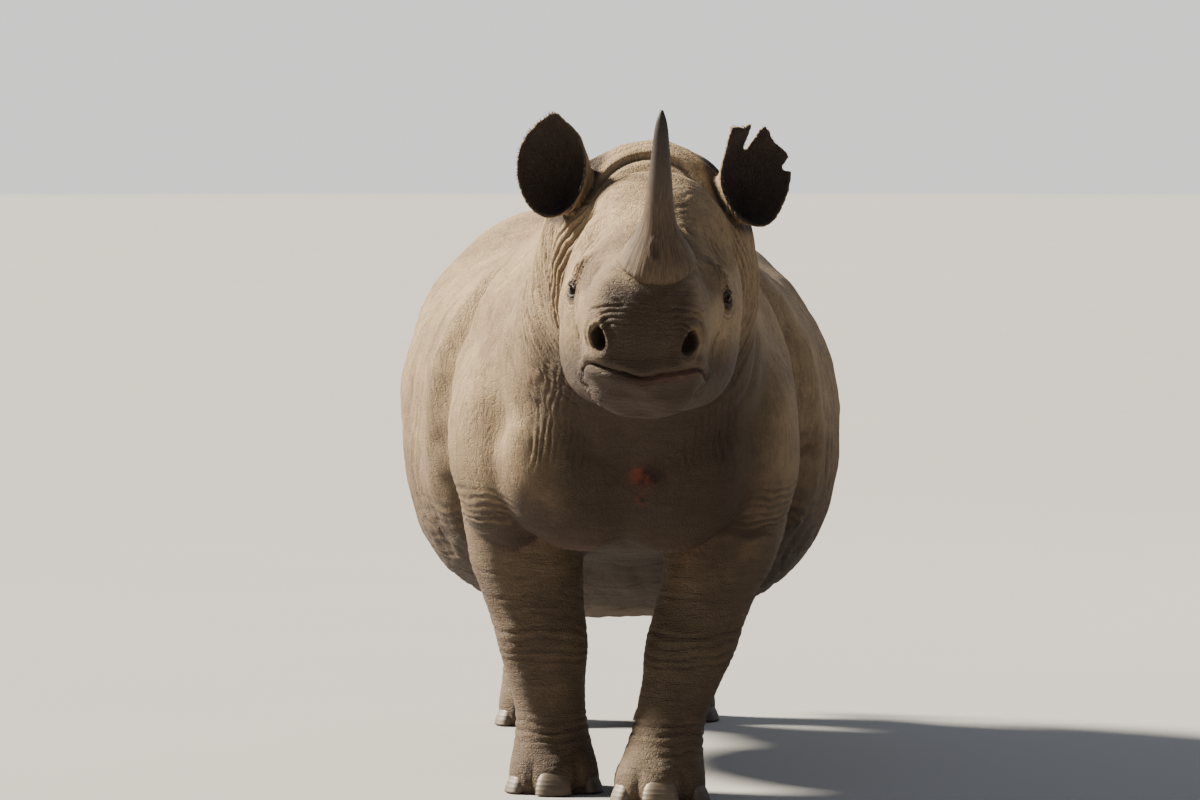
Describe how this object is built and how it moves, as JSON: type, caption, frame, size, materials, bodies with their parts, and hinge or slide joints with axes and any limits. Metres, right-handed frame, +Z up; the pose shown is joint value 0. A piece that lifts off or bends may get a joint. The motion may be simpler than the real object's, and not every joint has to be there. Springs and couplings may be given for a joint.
{
  "type": "black rhinoceros",
  "caption": "Black rhinoceros standing still with its head raised, life size: hooked upper lip, tall slender front horn over a short rear one, one whole ear and one torn ear.",
  "frame": {"origin": "on the floor, under the middle of the animal's box", "axes": "-Y is the way it faces, +X its left side, +Z up"},
  "size_m": [1.1698, 3.2974, 1.7483],
  "materials": {
    "hide": "bare, dusty grey-tan hide with fine creases",
    "ear": "thin bare skin, darker inside",
    "horn": "fibrous horn, worn smooth towards a darker tip",
    "nail": "dull worn nail",
    "eye": "wet and dark"
  },
  "bodies": {
    "root": {"head": "hide", "neck": "hide", "trunk": "hide", "tail": "hide", "foreleg_right": "hide", "foreleg_left": "hide", "hindleg_right": "hide", "hindleg_left": "hide", "ear_right": "ear", "ear_left": "ear", "horn_front": "horn", "horn_rear": "horn", "eye_left": "eye", "eye_right": "eye", "nail_fore_right_inner": "nail", "nail_fore_right_middle": "nail", "nail_fore_right_outer": "nail", "nail_fore_left_inner": "nail", "nail_fore_left_middle": "nail", "nail_fore_left_outer": "nail", "nail_hind_right_inner": "nail", "nail_hind_right_middle": "nail", "nail_hind_right_outer": "nail", "nail_hind_left_inner": "nail", "nail_hind_left_middle": "nail", "nail_hind_left_outer": "nail"}
  },
  "joints": []
}
